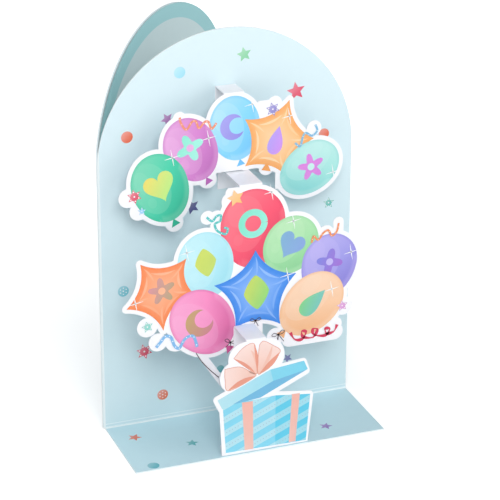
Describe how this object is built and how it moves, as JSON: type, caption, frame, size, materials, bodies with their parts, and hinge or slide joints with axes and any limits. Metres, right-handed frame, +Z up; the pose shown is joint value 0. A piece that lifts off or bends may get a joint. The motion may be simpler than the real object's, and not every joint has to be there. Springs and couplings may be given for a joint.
{
  "type": "pop up card",
  "caption": "Folded arched greeting card standing open, with die-cut balloon clusters and a gift box raised in layers on folded paper webs.",
  "frame": {"origin": "centre of the bounding box in plan, on the table plane under the base flap", "axes": "+X across the card to the viewer's right, -Y towards the front with the printed layers, +Z up"},
  "size_m": [0.13, 0.1354, 0.2],
  "materials": {
    "card_stock": "matte printed card",
    "upper_print": "matte printed paper",
    "lower_print": "matte printed paper",
    "gift_print": "matte printed paper"
  },
  "bodies": {
    "root": {"folded_card": "card_stock", "upper_balloons": "upper_print", "lower_balloons": "lower_print", "gift_box": "gift_print"}
  },
  "joints": []
}
